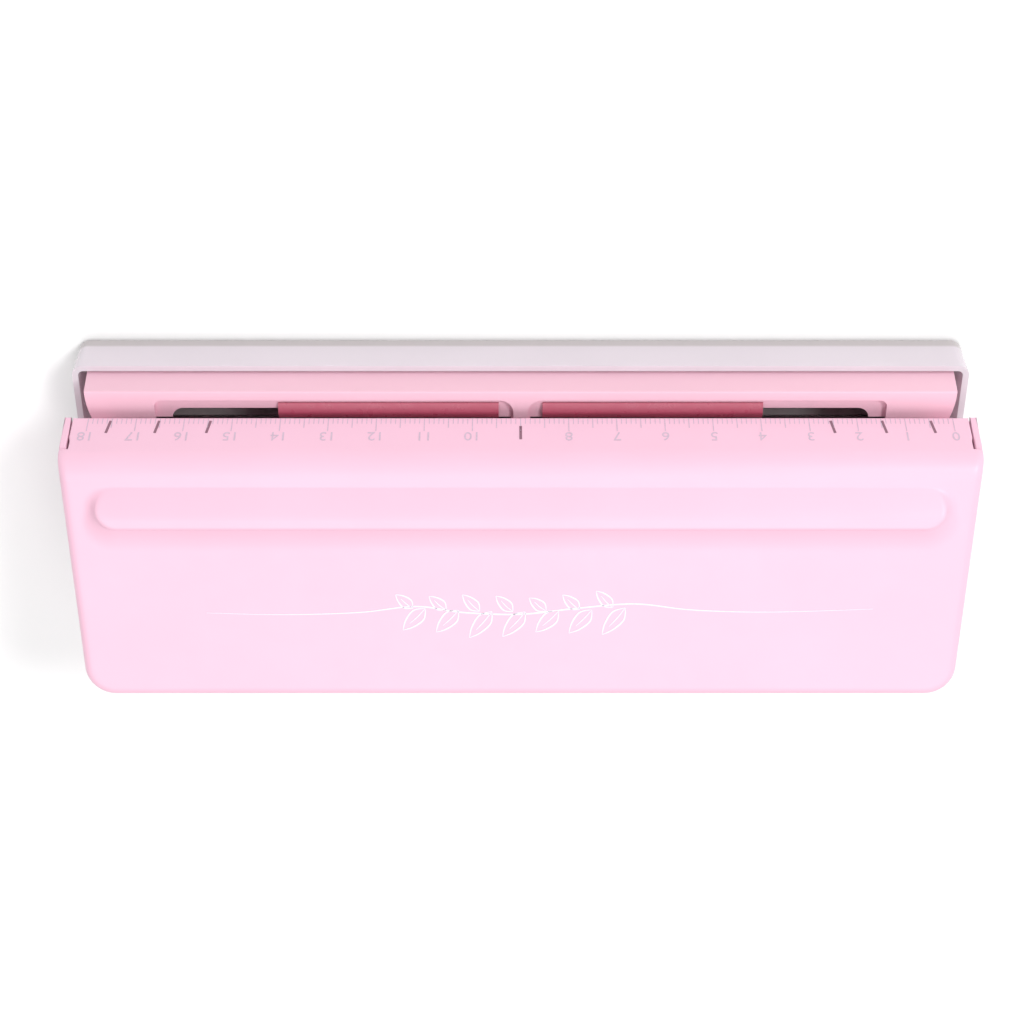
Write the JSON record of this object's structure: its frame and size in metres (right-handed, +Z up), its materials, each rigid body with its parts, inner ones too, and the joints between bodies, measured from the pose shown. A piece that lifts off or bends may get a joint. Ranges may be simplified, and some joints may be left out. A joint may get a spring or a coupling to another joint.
{
  "type": "adjustable six-hole paper punch",
  "caption": "Desk punch for loose-leaf planner pages: wide press lever with a ruler edge, sliding punch carriages in a slotted base, and a clear chip tray.",
  "frame": {"origin": "centre of the bounding box on the surface it stands on, lever at rest", "axes": "+X to the user's right along the punch, +Y away from the user towards the lever's free edge, +Z up; paper enters from -Y"},
  "size_m": [0.19, 0.0618, 0.047],
  "materials": {
    "pink_paint": "smooth semi-matt powder coat",
    "pink_plastic": "fine satin moulded",
    "rose_plastic": "satin",
    "clear_plastic": "clear moulded",
    "foot_rubber": "matt",
    "bare_steel": "ground",
    "polished_steel": "polished",
    "zinc_steel": "bright zinc plated",
    "spring_steel": "drawn wire",
    "cast_zinc": "die cast",
    "bush_brass": "turned",
    "bush_nylon": "natural nylon"
  },
  "bodies": {
    "tray": {"chip_tray": "clear_plastic", "tray_feet": "foot_rubber"},
    "punch_base": {"base_housing": "pink_plastic", "housing_screws": "zinc_steel", "index_strip": "bare_steel", "paper_stop": "bare_steel", "front_guide_rod": "polished_steel", "rear_guide_rod": "polished_steel", "bump_stop_left": "foot_rubber", "bump_stop_right": "foot_rubber", "side_plate_left": "zinc_steel", "side_plate_right": "zinc_steel", "pivot_bush_left": "bush_brass", "pivot_bush_right": "bush_brass"},
    "lever": {"lever_cover": "pink_paint", "press_bar": "zinc_steel", "press_bar_rivets": "zinc_steel", "pivot_pin_left": "polished_steel", "pivot_pin_right": "polished_steel", "pivot_clip_left": "bare_steel", "pivot_clip_right": "bare_steel", "pivot_washer_left": "bush_nylon", "pivot_washer_right": "bush_nylon"},
    "carriage_left": {"carriage_frame_left": "cast_zinc", "die_plate_left": "bare_steel", "die_screws_left": "zinc_steel", "finger_bar_left": "rose_plastic", "bar_screws_left": "zinc_steel", "detent_plunger_left": "bush_brass", "punch_spring_left_1": "spring_steel", "punch_spring_left_2": "spring_steel", "punch_spring_left_3": "spring_steel"},
    "punches_left": {"punch_left_1": "polished_steel", "punch_left_2": "polished_steel", "punch_left_3": "polished_steel"},
    "carriage_right": {"carriage_frame_right": "cast_zinc", "die_plate_right": "bare_steel", "die_screws_right": "zinc_steel", "finger_bar_right": "rose_plastic", "bar_screws_right": "zinc_steel", "detent_plunger_right": "bush_brass", "punch_spring_right_1": "spring_steel", "punch_spring_right_2": "spring_steel", "punch_spring_right_3": "spring_steel"},
    "punches_right": {"punch_right_1": "polished_steel", "punch_right_2": "polished_steel", "punch_right_3": "polished_steel"}
  },
  "joints": [
    {"name": "tray_lift_off", "type": "slide", "parent": "tray", "child": "punch_base", "axis": [0, 0, 1], "range_m": [0, 0.02]},
    {"name": "lever_press", "type": "hinge", "parent": "punch_base", "child": "lever", "pos_m": [0, -0.01815, 0.027], "axis": [-1, 0, 0], "range_deg": [0, 24], "stiffness_Nm_per_rad": 0.55, "springref_deg": -14.32},
    {"name": "carriage_left_slide", "type": "slide", "parent": "punch_base", "child": "carriage_left", "axis": [-1, 0, 0], "range_m": [0, 0.0255]},
    {"name": "punches_left_stroke", "type": "slide", "parent": "carriage_left", "child": "punches_left", "axis": [0, 0, -1], "range_m": [0, 0.00479], "deforming": ["punch_spring_left_1", "punch_spring_left_2", "punch_spring_left_3"]},
    {"name": "carriage_right_slide", "type": "slide", "parent": "punch_base", "child": "carriage_right", "axis": [1, 0, 0], "range_m": [0, 0.0255]},
    {"name": "punches_right_stroke", "type": "slide", "parent": "carriage_right", "child": "punches_right", "axis": [0, 0, -1], "range_m": [0, 0.00479], "deforming": ["punch_spring_right_1", "punch_spring_right_2", "punch_spring_right_3"]}
  ],
  "couplings": [
    {"joint": "punches_left_stroke", "follows": "lever_press", "m_per_rad": 0.01142},
    {"joint": "punches_right_stroke", "follows": "lever_press", "m_per_rad": 0.01142}
  ]
}
